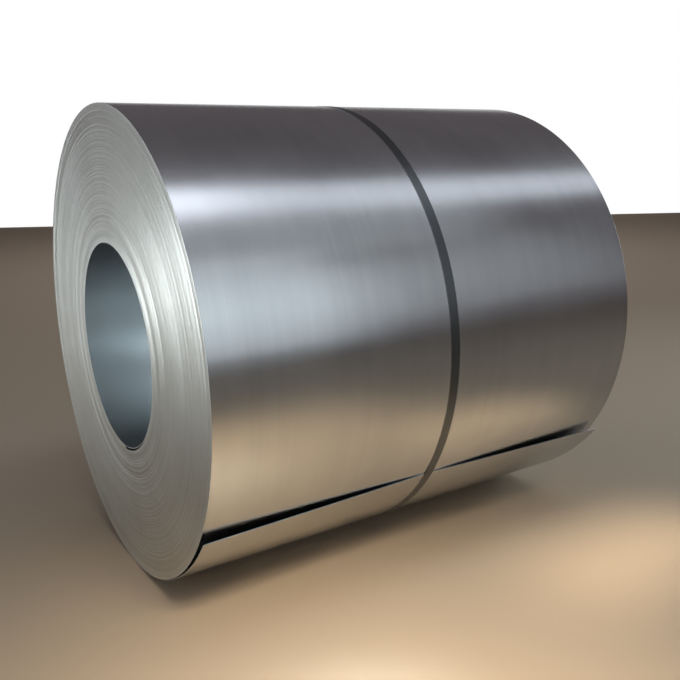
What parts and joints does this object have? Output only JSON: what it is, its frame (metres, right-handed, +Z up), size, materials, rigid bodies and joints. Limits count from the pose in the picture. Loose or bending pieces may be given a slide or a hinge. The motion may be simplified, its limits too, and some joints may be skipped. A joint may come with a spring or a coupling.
{
  "type": "steel coil",
  "caption": "Coil of cold-rolled steel strip lying on its side, wound on an open bore and tied round the middle with one sealed steel strap.",
  "frame": {"origin": "middle of the bore: on its axis, half way along the strip's width", "axes": "+X along the bore axis, from the end that the picture shows to the hidden end; +Z up; -Y to the front, where the strip's outer end comes up"},
  "size_m": [1.2, 1.1503, 1.1515],
  "materials": {
    "coil_steel": "cold-rolled mill surface with a thin film of oil; matt cut edges on the ends",
    "strap_steel": "blued and waxed strapping steel, worn bright along its edges",
    "seal_steel": "dull crimped strapping steel"
  },
  "bodies": {
    "root": {"coil": "coil_steel", "strap": "strap_steel", "strap_seal": "seal_steel"}
  },
  "joints": []
}
